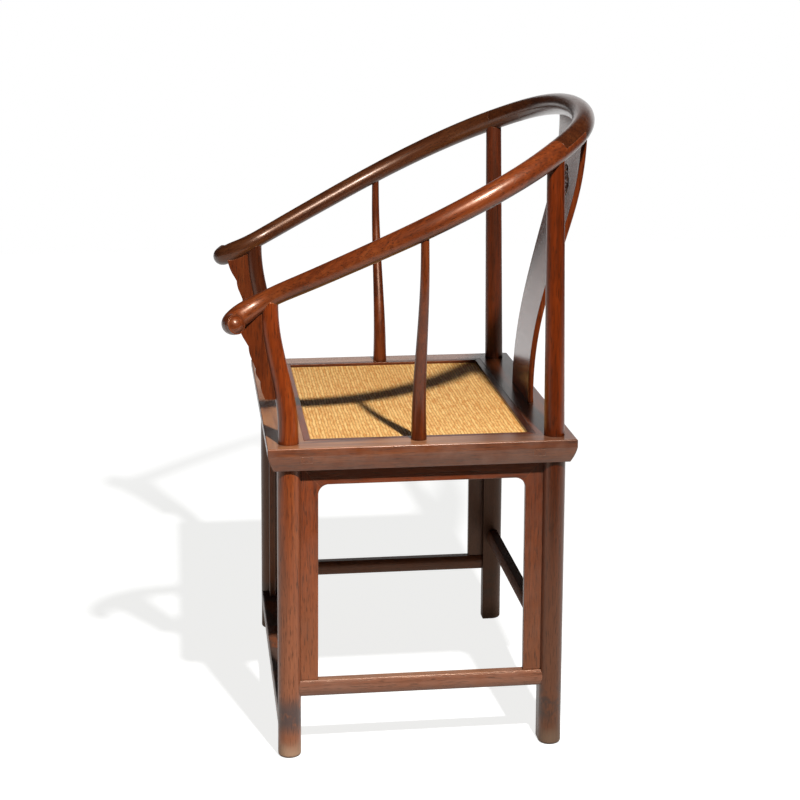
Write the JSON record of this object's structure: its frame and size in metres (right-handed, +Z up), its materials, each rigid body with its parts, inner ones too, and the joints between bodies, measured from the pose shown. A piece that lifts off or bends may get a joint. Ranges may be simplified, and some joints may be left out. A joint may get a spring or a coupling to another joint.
{
  "type": "horseshoe back armchair",
  "caption": "Hardwood armchair with a round crest rail that sweeps down into out-turned hands, an S-curved splat, goose-necked front posts, a woven cane seat and framed legs.",
  "frame": {"origin": "on the floor, at the middle of the chair's outline and of its seat frame", "axes": "+Z up, the sitter faces -Y, +X is the sitter's left"},
  "size_m": [0.6944, 0.5869, 0.9813],
  "materials": {
    "dark_hardwood": "polished dark reddish-brown hardwood",
    "woven_cane": "fine golden cane weave, satin",
    "coir_cord": "dull brown fibre"
  },
  "bodies": {
    "root": {"crest_rail_back": "dark_hardwood", "crest_rail_arm_left": "dark_hardwood", "crest_rail_arm_right": "dark_hardwood", "crest_scarf_pegs": "dark_hardwood", "back_splat": "dark_hardwood", "rear_leg_left": "dark_hardwood", "rear_leg_right": "dark_hardwood", "front_leg_left": "dark_hardwood", "front_leg_right": "dark_hardwood", "side_post_left": "dark_hardwood", "side_post_right": "dark_hardwood", "hand_bracket_left": "dark_hardwood", "hand_bracket_right": "dark_hardwood", "seat_frame_front": "dark_hardwood", "seat_frame_back": "dark_hardwood", "seat_frame_left": "dark_hardwood", "seat_frame_right": "dark_hardwood", "seat_brace_left": "dark_hardwood", "seat_brace_right": "dark_hardwood", "cane_seat": "woven_cane", "coir_underweave": "coir_cord", "seat_strip_front": "dark_hardwood", "seat_strip_back": "dark_hardwood", "seat_strip_left": "dark_hardwood", "seat_strip_right": "dark_hardwood", "front_apron": "dark_hardwood", "front_board_left": "dark_hardwood", "front_board_right": "dark_hardwood", "side_apron_left": "dark_hardwood", "side_apron_right": "dark_hardwood", "side_board_left_front": "dark_hardwood", "side_board_left_rear": "dark_hardwood", "side_board_right_front": "dark_hardwood", "side_board_right_rear": "dark_hardwood", "back_apron": "dark_hardwood", "footrest": "dark_hardwood", "footrest_apron": "dark_hardwood", "side_stretcher_left": "dark_hardwood", "side_stretcher_right": "dark_hardwood", "back_stretcher": "dark_hardwood"}
  },
  "joints": []
}
